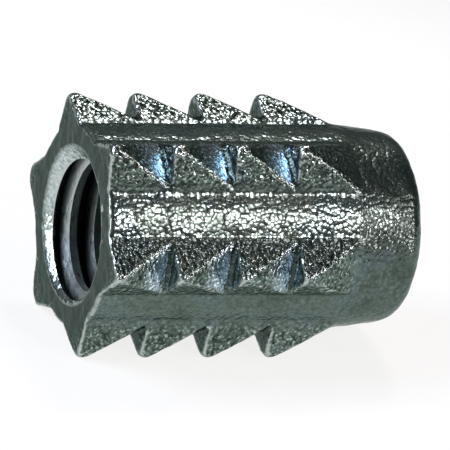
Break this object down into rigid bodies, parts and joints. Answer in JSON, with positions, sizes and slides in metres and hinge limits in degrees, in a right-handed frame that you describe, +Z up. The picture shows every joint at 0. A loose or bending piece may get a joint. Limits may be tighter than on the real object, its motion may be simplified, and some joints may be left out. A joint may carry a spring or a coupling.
{
  "type": "press-in wood insert",
  "caption": "Cast zinc barrel with an internal thread, a tapered nose and rows of backward-facing barbs, pressed into a drilled hole to give wood a machine thread.",
  "frame": {"origin": "centre of the head face, on the bore axis", "axes": "+X along the bore axis from the head face to the nose, +Z up with the insert lying on two rows of barbs"},
  "size_m": [0.013, 0.01, 0.0088],
  "materials": {
    "plated_zinc": "bright zinc plating over a grainy zinc die casting"
  },
  "bodies": {
    "root": {"insert": "plated_zinc"}
  },
  "joints": []
}
